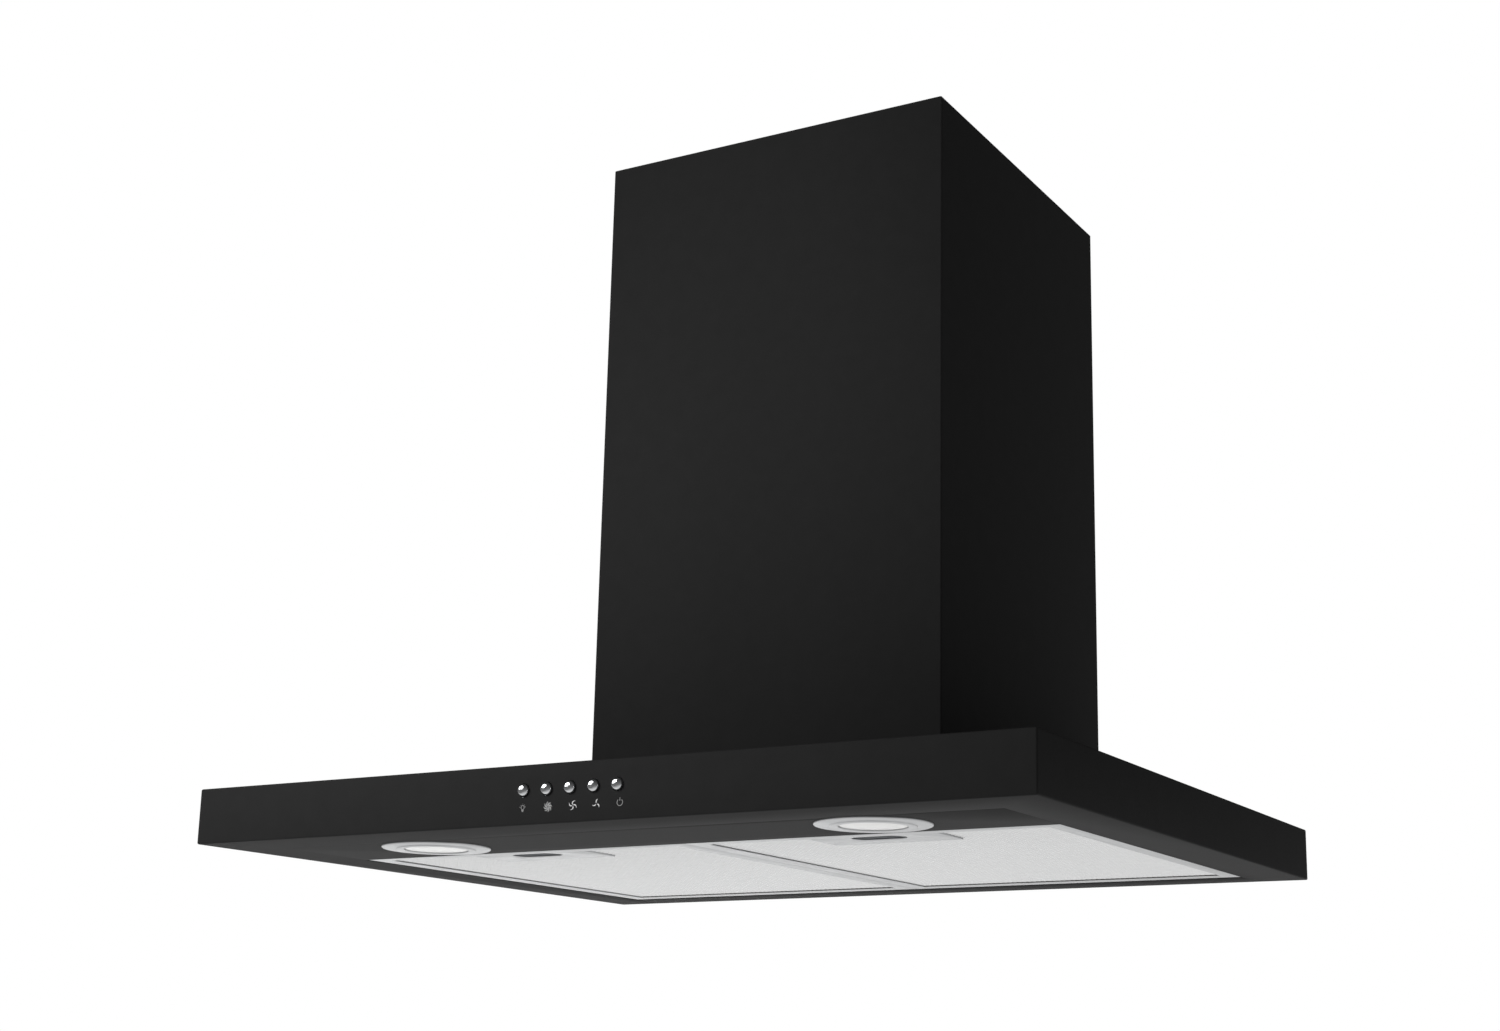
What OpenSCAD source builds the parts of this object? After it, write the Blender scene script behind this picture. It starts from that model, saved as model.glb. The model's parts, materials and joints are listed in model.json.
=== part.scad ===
// Wall-mounted chimney cooker hood: a flat T-shaped canopy with a push-button row, two round lamps
// and two aluminium grease filters, under a telescopic chimney that hides the blower.
// Frame: the wall is the plane y = 0, the front faces -Y, +X is the viewer's right, and z = 0 is the
// canopy's underside. All sizes are in millimetres.

/* [Canopy] */
// Width of the canopy
canopy_w = 600; // [580:5:640]
// Depth of the canopy, wall to front panel
canopy_d = 495; // [480:5:510]
// Height of the canopy's edge band
canopy_h = 36.5; // [35:0.5:40]
// Thickness of the painted steel sheet
sheet = 1; // [0.8:0.1:1.2]
// Width of the flange folded under each side
flange_side = 38; // [34:1:42]
// Width of the flange folded under the front
flange_front = 42; // [38:1:46]

/* [Chimney] */
// Width of the lower chimney cover
chimney_w = 279; // [276:1:290]
// Depth of the chimney, wall to front face
chimney_d = 280; // [268:1:290]
// Height of the chimney's top above the canopy's underside
chimney_top = 532; // [520:1:560]
// Gap between the lower cover and the upper cover that slides in it
cover_gap = 0.4; // [0.3:0.1:0.6]

/* [Push buttons] */
// Distance from one button to the next
button_pitch = 17; // [15:0.1:20]
// Diameter of a button cap
button_dia = 8; // [7:0.5:10]
// How far a cap stands out of the front panel
button_out = 3; // [2.5:0.5:6]
// Height of the button row above the canopy's underside
button_z = 21; // [19:0.5:23]
// Distance of the row's middle button from the centre line
button_shift = -1; // [-4:0.5:4]

/* [Lamps] */
// Distance of each lamp from the centre line
lamp_x = 162.4; // [150:0.2:180]
// Outer diameter of the lamp's flange ring
lamp_dia = 71; // [68:1:72]
// Depth of the panel that holds the lamps
lamp_panel_d = 79.5; // [78:0.5:84]

/* [Grease filters] */
// Thickness of a filter cassette
filter_t = 9; // [8:0.5:10]
// Width of the smooth border round the mesh
filter_border = 12; // [11:1:15]
// Depth of the rail behind the filters
rail_d = 33; // [30:1:36]

/* [Blower] */
// Outside diameter of the outlet spigot, for 150 mm duct
spigot_dia = 149; // [146:1:149]
// Height of the blower box's top above the canopy's underside
box_top = 300; // [296:1:310]
// Outside diameter of the impeller
impeller_dia = 150; // [140:2:152]
// Number of blades on the impeller
blade_count = 24; // [16:2:32]

/* [Hidden] */
$fn = 96;

black_paint = "#262626";
satin_alu = "#c9cacb";
mesh_alu = "#d8d8d8";
zinc = "#b4b8ba";
black_plastic = "#1d1d1f";
grey_plastic = "#8d9093";
chrome = "#d5d7da";

// small clearance between parts that only sit beside each other
gap = 0.3;
// margin that makes a cut run past the face it opens
past = 1;

// pan-head screws, and the holes that they pass
screw_head_r = 3;
screw_head_h = 2.2;
screw_r = 1.6;
screw_hole_r = 1.8;
screw_reach = 6;

// canopy
mouth_x = canopy_w / 2 - flange_side;
mouth_y = -canopy_d + flange_front;
lip_h = 8;
airway_x = 115;
airway_y = [-228, -22];
fixing_x = 250;
fixing_z = 18;
fixing_r = 2.6;

// lamp panel and rear rail
panel_rear = mouth_y + lamp_panel_d;
panel_h = 12;
panel_lip = 5;
lamp_y = mouth_y + lamp_panel_d / 2 - 5;
lamp_hole_r = 28;
lamp_tube_r = 27.5;
lamp_tube_top = 12;
lens_r = 22;
bezel_in = 20.8;
bezel_out = 26.2;
bezel_z = -2;
engine_r = 25.2;
fin_count = 12;
fin_r = 24;
fin_t = 1.6;
fin_h = 12;
clip_w = 12;
rail_lip = 4;
rail_flange = 14;
rail_rear = -sheet - 0.2;

// filters: recessed a little inside the mouth, side by side
filter_z = 0.4;
filter_play = 1.5;
filter_split = 0.4;
filter_side_play = 0.5;
filter_w = mouth_x - filter_split / 2 - filter_side_play;
filter_cx = filter_split / 2 + filter_w / 2;
filter_y = [panel_rear + filter_play, -rail_d - filter_play];
skin = 0.8;
tab_x = 70;
tab_w = 20;
tab_z = [3.9, 4.9];
tab_out = 7;
notch_z = [2.1, 4.8];
mesh_z = [skin + 0.1, skin + 0.8];
core_layers = 4;
core_step = 1.7;
core_t = 0.4;
core_z = 2.2;
window_front = filter_y[0] + filter_border;

// latch: a tray in the filter's front edge, and a sprung slider with a finger cup
tray_w = 90;
tray_rear = window_front + 37;
tray_h = 7.4;
cup_y = window_front + 10;
cup_half = 10;
slot_r = 8.5;
cup_r = 7.2;
cup_z = [0, 5.3];
slider_half = 21;
slider_y = [cup_y - 9.2, cup_y + 11];
slider_z = [1.1, tray_h - skin - gap];
tongue_w = 28;
tongue_z = [2.4, 4.4];

// buttons
button_r = button_dia / 2;
stem_r = 3;
collar_r = 6;
button_xs = [for (i = [-2:2]) button_shift + i * button_pitch];
cap_round = 1.2;
cap_depth = button_out + 2.4;
collar_t = 1;
stem_end = button_out + 14;
button_travel = 2;
switch_half = 45;
switch_z = [12, 31];
switch_y = [-canopy_d + 7, -canopy_d + 27];
arm_x = switch_half + 1.5;
bracket_half = 60;

// chimney
shaft_x = chimney_w / 2;
return_w = 14;
inner_x = shaft_x - sheet - cover_gap;
inner_d = chimney_d - sheet - cover_gap;
upper_bottom = canopy_h + 10;
bracket_z = [chimney_top - 31, chimney_top - 5];
tab_half = 40;
tab_reach = 16;
tab_screw_x = 25;
tab_screw_y = -chimney_d + 9;
strip_t = 2;
chimney_strip_x = inner_x - return_w - 1.6;
ear_x = inner_x - sheet - 0.4;
ear_t = 1.5;
ear_depth = 34;
joggle_y = -sheet - cover_gap - sheet - 0.5;
chimney_hole_x = 100;
chimney_hole_r = 3;

// blower box and scroll
box_x = 125;
box_y = [-236, -4];
box_flange = 9;
box_screw_x = box_x + 4;
box_screw_ys = [-180, -60];
scroll_y = -112;
scroll_z = 150;
scroll_half = 60;
scroll_wall = 2;
scroll_start_r = 84;
scroll_growth = 24;
scroll_sweep = 225;
scroll_mouth = [-108, 40];
scroll_tongue = [58, 76];
inlet_r = 62;
outlet_y = -146;
throat_half = 68;
spigot_r = spigot_dia / 2;
spigot_top = box_top + 50;
spigot_wall = 1.5;
spigot_flange = 10;
spigot_flange_t = 1.5;
ledge = 3;
ledge_t = 1.5;
motor_r = 40;
motor_x = [-70, -8];
motor_neck_r = motor_r - 6;
bearing_depth = 30;
mount_x = -scroll_half - 2.6;
mount_t = 2.5;
mount_r = 47;
arm_reach = 76;
arm_w = 14;
arm_hole_r = 2.2;
arm_screw_r = 69;
shaft_r = 4;
running = 0.05;
blade_in = 62;
blade_chord = 12;
blade_t = 1.4;
blade_turn = 35;
wheel_half = 50;
wheel_disc_t = 2;
hub_r = 10;
hub_h = 18;

// non-return flaps in the spigot
flap_r = spigot_r - spigot_wall - 0.5;
flap_z = box_top + 12.8;
flap_t = 1.5;
knuckle_r = 3.4;
pin_r = 2;
pin_z = flap_z + knuckle_r;
plate_edge = knuckle_r + 0.6;
left_knuckles = [[-64, -32], [0, 32]];
right_knuckles = [[-31.4, -0.6], [32.6, 64]];

// control box on the blower box's front
ctrl_x = 60;
ctrl_y = [-262, box_y[0]];
ctrl_z = [60, 150];
ctrl_wall = 2;
board_x = [-54, 12];
board_t = 1.6;
board_rear = ctrl_y[1] - 4.4;
board_edge = 6;
capacitor_r = 11;
capacitor_h = 46;
terminal_x = [18, 54];
terminal_y = [ctrl_y[1] - 20, ctrl_y[1] - 3];
terminal_z = [ctrl_z[0] + 58, ctrl_z[0] + 74];
terminal_pitch = 11;
terminal_hole_r = 2.6;
gland_x = 35;
gland_y = -249.5;
gland_bore = 4;
gland_thread_r = 6;
gland_nut_h = 4;
gland_top = 15;

// wall bracket
hook_z = 288;
hook_xs = [-42, 42];
hook_half = 12;
hook_reach = 8;
hook_t = 2;
hang_strip_x = 105;
hang_x = 90;
hang_z = 270;
hang_r = 4;

// a box between two corners, given as ranges
module block(x, y, z)
    translate([x[0], y[0], z[0]])
        cube([x[1] - x[0], y[1] - y[0], z[1] - z[0]]);

// a round bar along X, Y or Z
module rod_x(r, x, y, z)
    translate([x[0], y, z])
        rotate([0, 90, 0])
            cylinder(r = r, h = x[1] - x[0]);

module rod_y(r, x, y, z)
    translate([x, y[0], z])
        rotate([-90, 0, 0])
            cylinder(r = r, h = y[1] - y[0]);

module rod_z(r, x, y, z)
    translate([x, y, z[0]])
        cylinder(r = r, h = z[1] - z[0]);

// a round-ended slot along X, standing in z
module slot_z(half, r, x, y, z) {
    for (s = [-1, 1])
        rod_z(r, x + s * half, y, z);
    block([x - half, x + half], [y - r, y + r], z);
}

// a pan-head screw along Z whose head sits on z = seat; dir is +1 when the head is on top
module screw_z(x, y, seat, dir) {
    head = dir > 0 ? [seat, seat + screw_head_h] : [seat - screw_head_h, seat];
    shank = dir > 0 ? [seat - screw_reach, seat] : [seat, seat + screw_reach];
    rod_z(screw_head_r, x, y, head);
    rod_z(screw_r, x, y, shank);
}

// a three-sided cover, open at the wall, with narrow returns along its rear edges
module cover(half, depth, rear, z) {
    difference() {
        block([-half, half], [-depth, rear], z);
        block([-half + sheet, half - sheet], [-depth + sheet, rear - sheet],
            [z[0] - past, z[1] + past]);
        block([-half + return_w, half - return_w], [rear - sheet - past, rear + past],
            [z[0] - past, z[1] + past]);
    }
}

// Folded steel canopy: edge band, top with the airway to the blower, and a flange round the mouth
module canopy_shell() color(black_paint)
    difference() {
        union() {
            difference() {
                block([-canopy_w / 2, canopy_w / 2], [-canopy_d, 0], [0, canopy_h]);
                block([-canopy_w / 2 + sheet, canopy_w / 2 - sheet],
                    [-canopy_d + sheet, -sheet], [sheet, canopy_h - sheet]);
            }
            block([-mouth_x - sheet, mouth_x + sheet], [mouth_y - sheet, -sheet], [0, lip_h]);
        }
        block([-mouth_x, mouth_x], [mouth_y, -sheet], [-past, lip_h + past]);
        block([-airway_x, airway_x], airway_y, [canopy_h - 2 * sheet, canopy_h + past]);
        for (x = button_xs)
            rod_y(button_r + gap, x, [-canopy_d - past, -canopy_d + 2 * sheet], button_z);
        for (s = [-1, 1]) {
            rod_y(fixing_r, s * fixing_x, [-2 * sheet, past], fixing_z);
            rod_z(screw_hole_r, s * tab_screw_x, tab_screw_y,
                [canopy_h - 2 * sheet, canopy_h + past]);
            for (y = box_screw_ys)
                rod_z(screw_hole_r, s * box_screw_x, y, [canopy_h - 2 * sheet, canopy_h + past]);
        }
    }

// Strip between the front flange and the filters, with a hole for each lamp
module lamp_panel() color(black_paint)
    difference() {
        block([-mouth_x + gap, mouth_x - gap], [mouth_y + gap, panel_rear], [0, panel_h]);
        block([-mouth_x + gap + sheet, mouth_x - gap - sheet],
            [mouth_y + gap + sheet, panel_rear - sheet], [sheet, panel_h + past]);
        block([-mouth_x, mouth_x], [panel_rear - 2 * sheet, panel_rear + past],
            [panel_lip, panel_h + past]);
        for (s = [-1, 1])
            rod_z(lamp_hole_r, s * lamp_x, lamp_y, [-past, 2 * sheet]);
    }

// Rail behind the filters; their rear tabs hook over its front lip
module rear_rail() color(black_paint) {
    block([-mouth_x + gap, mouth_x - gap], [-rail_d, rail_rear], [0, sheet]);
    block([-mouth_x + gap, mouth_x - gap], [-rail_d, -rail_d + sheet], [0, rail_lip]);
    block([-mouth_x + gap, mouth_x - gap], [rail_rear - sheet, rail_rear], [0, rail_flange]);
}

// Flange ring with a raised inner bezel and the tube that stands in the panel's hole
module lamp_ring(side) color(satin_alu)
    translate([side * lamp_x, lamp_y, 0])
        rotate_extrude()
            polygon([[lamp_dia / 2, 0], [lamp_dia / 2, -0.6], [lamp_dia / 2 - 0.6, -1.2],
                [bezel_out, -1.2], [bezel_out - 0.4, bezel_z], [bezel_in + 0.4, bezel_z],
                [bezel_in, bezel_z + 0.4], [bezel_in, 0.2], [lens_r + 0.2, 0.2],
                [lens_r + 0.2, 2.2], [25.5, 2.2], [25.5, lamp_tube_top],
                [lamp_tube_r, lamp_tube_top], [lamp_tube_r, 0]]);

// Frosted lens: a slightly domed face inside the bezel, and a rim on the ring's inner step
module lamp_lens(side) color("#f2f2ee")
    translate([side * lamp_x, lamp_y, 0])
        rotate_extrude()
            polygon([[0, -1.9], [8, -1.84], [14, -1.7], [bezel_in - 0.2, -1.4],
                [bezel_in - 0.2, 0.3], [lens_r, 0.3], [lens_r, 2], [0, 2]]);

// Light engine: a finned aluminium body over the lens
module lamp_body(side) color(zinc)
    translate([side * lamp_x, lamp_y, 0]) {
        rod_z(engine_r, 0, 0, [2.5, lamp_tube_top]);
        translate([0, 0, lamp_tube_top])
            linear_extrude(fin_h) {
                circle(r = fin_r - 7);
                for (i = [0:fin_count - 1])
                    rotate(i * 360 / fin_count)
                        translate([fin_r - 9, -fin_t / 2])
                            square([9, fin_t]);
            }
    }

// Two spring clips that press on the panel from above
module lamp_clips(side) color(zinc)
    translate([side * lamp_x, lamp_y, 0])
        for (s = [-1, 1])
            rotate(s > 0 ? 0 : 180)
                translate([0, clip_w / 2, 0])
                    rotate([90, 0, 0])
                        linear_extrude(clip_w)
                            polygon([[28.7, 3], [29.4, 3], [29.4, 9.2], [43, 1.1],
                                [44, 1.1], [29.6, 10.4], [28.7, 10.4]]);

// Cap with a rounded front edge, a retaining collar behind the panel, and a stem into the switch
module push_button(x) color(chrome)
    translate([x, -canopy_d - button_out, button_z])
        rotate([-90, 0, 0])
            rotate_extrude()
                polygon(concat(
                    [[0, 0]],
                    [for (a = [0:15:90])
                        [button_r - cap_round * (1 - sin(a)), cap_round * (1 - cos(a))]],
                    [[button_r, cap_depth], [collar_r, cap_depth],
                        [collar_r, cap_depth + collar_t], [stem_r, cap_depth + collar_t],
                        [stem_r, stem_end], [0, stem_end]]));

// Row of five push switches in one body; each stem runs in its own blind hole
module switch_body() color(black_plastic)
    difference() {
        block([-switch_half, switch_half], switch_y, switch_z);
        for (x = button_xs)
            rod_y(stem_r + gap, x, [switch_y[0] - past, -canopy_d + 15 + button_travel], button_z);
    }

// Plate behind the front panel with two arms that hold the switch body
module switch_bracket() color(zinc)
    difference() {
        union() {
            block([-bracket_half, bracket_half], [-canopy_d + sheet, -canopy_d + 2 * sheet],
                [switch_z[0] - 2, switch_z[1] + 2]);
            for (s = [-1, 1])
                block([s * arm_x - 1, s * arm_x + 1], [-canopy_d + sheet, switch_y[1] - 2],
                    switch_z);
        }
        for (x = button_xs)
            rod_y(button_r + 0.6, x, [-canopy_d, -canopy_d + 3 * sheet], button_z);
    }

// Folded aluminium frame of a cassette, with its latch notch and two rear tabs
module filter_frame(side) color(satin_alu)
    translate([side * filter_cx, 0, filter_z]) {
        difference() {
            block([-filter_w / 2, filter_w / 2], filter_y, [0, filter_t]);
            block([-filter_w / 2 + skin, filter_w / 2 - skin],
                [filter_y[0] + skin, filter_y[1] - skin], [skin, filter_t - skin]);
            block([-filter_w / 2 + filter_border, filter_w / 2 - filter_border],
                [window_front, filter_y[1] - filter_border], [-past, filter_t + past]);
            block([-tongue_w / 2 - gap, tongue_w / 2 + gap],
                [filter_y[0] - past, filter_y[0] + 2 * skin], notch_z);
        }
        for (x = [-tab_x, tab_x])
            block([x - tab_w / 2, x + tab_w / 2], [filter_y[1], filter_y[1] + tab_out], tab_z);
    }

// Space that the latch tray takes out of the mesh and the core
module tray_cut()
    block([-tray_w / 2 - gap, tray_w / 2 + gap], [filter_y[0], tray_rear + gap],
        [0, filter_t]);

// Front sheet of expanded aluminium mesh
module filter_mesh(side) color(mesh_alu)
    translate([side * filter_cx, 0, filter_z])
        difference() {
            block([-filter_w / 2 + skin + 0.2, filter_w / 2 - skin - 0.2],
                [filter_y[0] + skin + 0.2, filter_y[1] - skin - 0.2], mesh_z);
            tray_cut();
        }

// Inner mesh layers that trap the grease, stacked in the frame's channel
module filter_core(side) color(zinc)
    translate([side * filter_cx, 0, filter_z])
        difference() {
            for (i = [0:core_layers - 1])
                block([-filter_w / 2 + skin + 0.3, filter_w / 2 - skin - 0.3],
                    [filter_y[0] + skin + 0.3, filter_y[1] - skin - 0.3],
                    [core_z + i * core_step, core_z + i * core_step + core_t]);
            tray_cut();
        }

// Smooth plate at the filter's front edge: a tray over the slider, with the finger slot
module latch_plate(side) color(satin_alu)
    translate([side * filter_cx, 0, filter_z])
        difference() {
            block([-tray_w / 2, tray_w / 2], [window_front + 0.1, tray_rear], [0, tray_h]);
            block([-tray_w / 2 + sheet, tray_w / 2 - sheet],
                [window_front - past, tray_rear - sheet], [skin, tray_h - skin]);
            slot_z(cup_half, slot_r, 0, cup_y, [-past, skin + past]);
        }

// Slider with a finger cup and the tongue that holds the filter up
module latch_slider(side) color(grey_plastic)
    translate([side * filter_cx, 0, filter_z])
        difference() {
            union() {
                block([-slider_half, slider_half], slider_y, slider_z);
                block([-tongue_w / 2, tongue_w / 2], [panel_rear + gap, slider_y[0]], tongue_z);
            }
            slot_z(cup_half, cup_r, 0, cup_y, cup_z);
        }

// Sheet-steel box over the airway, open below, with the outlet hole in its top
module blower_box() color(zinc)
    difference() {
        union() {
            block([-box_x, box_x], box_y, [canopy_h, box_top]);
            block([-box_x - box_flange, box_x + box_flange],
                [box_y[0] - box_flange, box_y[1]], [canopy_h, canopy_h + sheet]);
        }
        block([-box_x + sheet, box_x - sheet], [box_y[0] + sheet, box_y[1] - sheet],
            [canopy_h - past, box_top - sheet]);
        rod_z(spigot_r - spigot_wall, 0, outlet_y, [box_top - 2 * sheet, box_top + past]);
        for (x = hook_xs)
            block([x - hook_half - 2, x + hook_half + 2],
                [box_y[1] - 2 * sheet, box_y[1] + past], [hook_z - 12, hook_z]);
        for (s = [-1, 1], y = box_screw_ys)
            rod_z(screw_hole_r, s * box_screw_x, y, [canopy_h - past, canopy_h + 2 * sheet]);
    }

// Outline of the scroll, seen along X: a spiral that opens into the outlet; grow thickens it
function scroll_outline(grow) = concat(
    [for (a = [0:15:scroll_sweep])
        let (r = scroll_start_r + scroll_growth * a / scroll_sweep + grow)
            [r * cos(45 - a), r * sin(45 - a)]],
    [[scroll_mouth[0] - grow, box_top - sheet - scroll_z],
        [scroll_mouth[1] + grow, box_top - sheet - scroll_z],
        [scroll_tongue[0] + grow, scroll_tongue[1]]]);

// The scroll's outline as a solid between two x values
module scroll_solid(x, grow)
    translate([x[0], scroll_y, scroll_z])
        rotate([90, 0, 90])
            linear_extrude(x[1] - x[0])
                polygon(scroll_outline(grow));

// Half of the scroll casing, with its side wall and inlet
module volute(side) color(black_plastic) {
    wall = side > 0 ? [0, scroll_half] : [-scroll_half, 0];
    hollow = side > 0 ? [-past, scroll_half - scroll_wall] : [-scroll_half + scroll_wall, past];
    difference() {
        scroll_solid(wall, 0);
        intersection() {
            scroll_solid(hollow, -scroll_wall);
            block(hollow, [box_y[0], 0], [0, box_top - sheet - past]);
        }
        block(hollow, [outlet_y - throat_half, outlet_y + throat_half],
            [box_top - sheet - 2 * past, box_top]);
        rod_x(inlet_r, [-2 * scroll_half, 2 * scroll_half], scroll_y, scroll_z);
    }
}

// Motor can in the left inlet, with a bearing bore for the shaft
module motor() color(zinc)
    difference() {
        union() {
            rod_x(motor_r, [motor_x[0] + 8, motor_x[1] - 6], scroll_y, scroll_z);
            rod_x(motor_neck_r, motor_x, scroll_y, scroll_z);
        }
        rod_x(shaft_r + running, [motor_x[1] - bearing_depth, motor_x[1] + past], scroll_y,
            scroll_z);
    }

// Three-armed bracket that carries the motor on the scroll's side wall
module motor_bracket() color(zinc)
    translate([mount_x, scroll_y, scroll_z])
        rotate([0, 90, 0])
            difference() {
                linear_extrude(mount_t)
                    difference() {
                        union() {
                            circle(r = mount_r);
                            for (i = [0:2])
                                rotate(i * 120)
                                    translate([0, -arm_w / 2])
                                        square([arm_reach, arm_w]);
                        }
                        circle(r = motor_r + 0.2);
                    }
                for (i = [0:2])
                    rotate(i * 120)
                        rod_z(arm_hole_r, arm_screw_r, 0, [-past, mount_t + past]);
            }

// Screws that hold the bracket's arms
module motor_screws() color(chrome)
    translate([mount_x, scroll_y, scroll_z])
        rotate([0, 90, 0])
            for (i = [0:2])
                rotate(i * 120) {
                    rod_z(screw_head_r + 1, arm_screw_r, 0, [-2.6, 0]);
                    rod_z(arm_hole_r - 0.2, arm_screw_r, 0, [0, mount_t]);
                }

// Double-inlet squirrel-cage impeller
module impeller() color(black_plastic)
    translate([0, scroll_y, scroll_z])
        rotate([0, 90, 0])
            difference() {
                union() {
                    translate([0, 0, -wheel_half])
                        linear_extrude(2 * wheel_half)
                            for (i = [0:blade_count - 1])
                                rotate(i * 360 / blade_count)
                                    translate([blade_in, 0])
                                        rotate(blade_turn)
                                            square([blade_chord, blade_t]);
                    rod_z(impeller_dia / 2, 0, 0, [-wheel_disc_t, 0]);
                    rod_z(hub_r, 0, 0, [0, hub_h]);
                    for (z = [-wheel_half - wheel_disc_t, wheel_half])
                        difference() {
                            rod_z(impeller_dia / 2, 0, 0, [z, z + wheel_disc_t]);
                            rod_z(blade_in + 1, 0, 0, [z - past, z + wheel_disc_t + past]);
                        }
                }
                rod_z(shaft_r + 0.02, 0, 0, [-wheel_disc_t - past, hub_h + past]);
            }

module impeller_shaft() color(chrome)
    rod_x(shaft_r, [motor_x[1] - bearing_depth + 2, hub_h + 4], scroll_y, scroll_z);

// Round outlet with its flange on the box, and the ledge that the flaps close on
module outlet_spigot() color(black_plastic)
    difference() {
        union() {
            rod_z(spigot_r, 0, outlet_y, [box_top, spigot_top]);
            rod_z(spigot_r + spigot_flange, 0, outlet_y, [box_top, box_top + spigot_flange_t]);
        }
        rod_z(spigot_r - spigot_wall, 0, outlet_y, [box_top - past, flap_z - gap - ledge_t]);
        rod_z(spigot_r - spigot_wall - ledge, 0, outlet_y, [box_top, spigot_top]);
        rod_z(spigot_r - spigot_wall, 0, outlet_y, [flap_z - gap, spigot_top + past]);
    }

// Half-round non-return flap; its knuckles on the pin alternate with its neighbour's
module flap(side, knuckles) color(grey_plastic)
    translate([0, outlet_y, 0])
        difference() {
            union() {
                intersection() {
                    rod_z(flap_r, 0, 0, [flap_z, flap_z + flap_t]);
                    block(side > 0 ? [plate_edge, flap_r] : [-flap_r, -plate_edge],
                        [-flap_r, flap_r], [flap_z, flap_z + flap_t]);
                }
                for (y = knuckles) {
                    rod_y(knuckle_r, 0, y, pin_z);
                    block(side > 0 ? [0, plate_edge + past] : [-plate_edge - past, 0], y,
                        [flap_z, flap_z + flap_t]);
                }
            }
            for (y = knuckles)
                rod_y(pin_r + 0.08, 0, [y[0] - past, y[1] + past], pin_z);
        }

module flap_pin() color(chrome)
    rod_y(pin_r, 0, [outlet_y - spigot_r + spigot_wall + 0.1,
        outlet_y + spigot_r - spigot_wall - 0.1], pin_z);

module box_screws() color(chrome)
    for (s = [-1, 1], y = box_screw_ys)
        screw_z(s * box_screw_x, y, canopy_h + sheet, 1);

// Plastic tray on the front of the blower box
module control_box() color(black_plastic)
    difference() {
        block([-ctrl_x, ctrl_x], ctrl_y, ctrl_z);
        block([-ctrl_x + ctrl_wall, ctrl_x - ctrl_wall], [ctrl_y[0] - past, ctrl_y[1] - ctrl_wall],
            [ctrl_z[0] + ctrl_wall, ctrl_z[1] - ctrl_wall]);
        rod_z(gland_thread_r + gap, gland_x, gland_y,
            [ctrl_z[1] - ctrl_wall - past, ctrl_z[1] + past]);
    }

module control_lid() color(black_plastic)
    block([-ctrl_x, ctrl_x], [ctrl_y[0] - ctrl_wall, ctrl_y[0]], ctrl_z);

module circuit_board() color("#1f5a3a")
    block(board_x, [board_rear - board_t, board_rear],
        [ctrl_z[0] + board_edge, ctrl_z[1] - board_edge]);

module capacitor() color("#e4e4e0")
    rod_z(capacitor_r, gland_x, ctrl_y[1] - ctrl_wall - capacitor_r - 0.5,
        [ctrl_z[0] + board_edge, ctrl_z[0] + board_edge + capacitor_h]);

module terminal_block() color("#dcdcd6")
    difference() {
        block(terminal_x, terminal_y, terminal_z);
        for (i = [-1:1])
            rod_z(terminal_hole_r, (terminal_x[0] + terminal_x[1]) / 2 + i * terminal_pitch,
                ctrl_y[1] - 12, [terminal_z[0] + 8, terminal_z[1] + past]);
    }

// Cable gland in the control box's top
module cable_gland() color(black_plastic)
    translate([gland_x, gland_y, ctrl_z[1]])
        difference() {
            union() {
                cylinder(r = gland_thread_r + 3.5, h = gland_nut_h, $fn = 6);
                rod_z(gland_thread_r + 1.5, 0, 0, [gland_nut_h, gland_top]);
                rod_z(gland_thread_r, 0, 0, [-5, 0]);
            }
            rod_z(gland_bore, 0, 0, [-5 - past, gland_top + past]);
        }

module lower_chimney() color(black_paint)
    difference() {
        union() {
            cover(shaft_x, chimney_d, 0, [canopy_h, chimney_top]);
            block([-tab_half, tab_half], [-chimney_d + sheet / 2, -chimney_d + sheet + tab_reach],
                [canopy_h, canopy_h + sheet]);
        }
        for (s = [-1, 1])
            rod_z(screw_hole_r, s * tab_screw_x, tab_screw_y,
                [canopy_h - past, canopy_h + 2 * sheet]);
    }

// Screws through the canopy's top into the cover's front tab
module chimney_screws() color(chrome)
    for (s = [-1, 1])
        screw_z(s * tab_screw_x, tab_screw_y, canopy_h - sheet, -1);

module upper_chimney() color(black_paint)
    cover(inner_x, inner_d, -sheet - cover_gap, [upper_bottom, chimney_top - 0.5]);

// Bent strip that fixes the upper cover's top to the wall; its ears stand inside the cover
module chimney_bracket() color(zinc)
    difference() {
        union() {
            block([-chimney_strip_x, chimney_strip_x], [-strip_t, 0], bracket_z);
            for (s = [0, 1])
                mirror([s, 0, 0]) {
                    block([chimney_strip_x - strip_t, chimney_strip_x],
                        [joggle_y - strip_t, 0], bracket_z);
                    block([chimney_strip_x - strip_t, ear_x],
                        [joggle_y - strip_t, joggle_y], bracket_z);
                    block([ear_x - ear_t, ear_x], [-ear_depth, joggle_y], bracket_z);
                }
        }
        for (s = [-1, 1])
            rod_y(chimney_hole_r, s * chimney_hole_x, [-strip_t - past, past],
                (bracket_z[0] + bracket_z[1]) / 2);
    }

// Strip screwed to the wall first; the blower box hangs on its two hooks
module wall_bracket() color(zinc)
    difference() {
        union() {
            block([-hang_strip_x, hang_strip_x], [-strip_t, 0], [hook_z - 33, hook_z + 4]);
            for (x = hook_xs) {
                block([x - hook_half, x + hook_half], [-hook_reach, -strip_t],
                    [hook_z - hook_t, hook_z]);
                block([x - hook_half, x + hook_half], [-hook_reach, -hook_reach + hook_t],
                    [hook_z - hook_t, hook_z + hook_reach]);
            }
        }
        for (s = [-1, 1])
            rod_y(hang_r, s * hang_x, [-strip_t - past, past], hang_z);
    }

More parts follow.
